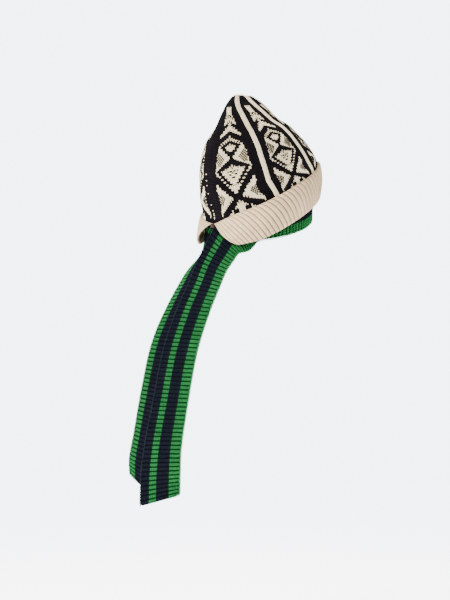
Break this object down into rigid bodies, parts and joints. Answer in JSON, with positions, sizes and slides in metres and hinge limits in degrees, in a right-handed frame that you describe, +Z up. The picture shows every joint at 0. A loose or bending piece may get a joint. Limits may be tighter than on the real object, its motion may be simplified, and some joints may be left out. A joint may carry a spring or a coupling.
{
  "type": "wool hat",
  "caption": "Pointed knitted hat with a split ribbed cuff and a long striped scarf band that leaves the cuff at the nape as two hanging tails.",
  "frame": {"origin": "centre of the head opening at the cuff's lower edge, where the hat sits round a head", "axes": "+Z up towards the tip, +Y towards the forehead, -Y towards the split at the nape, +X to the wearer's right"},
  "size_m": [0.1904, 0.3035, 0.6229],
  "materials": {
    "black_cream_jacquard": "matt double knit wool, cream motifs on black",
    "cream_rib": "matt rib knit wool",
    "navy_green_rib": "matt rib knit wool in navy and green stripes"
  },
  "bodies": {
    "root": {"crown": "black_cream_jacquard", "cuff": "cream_rib", "scarf_band": "navy_green_rib"}
  },
  "joints": []
}
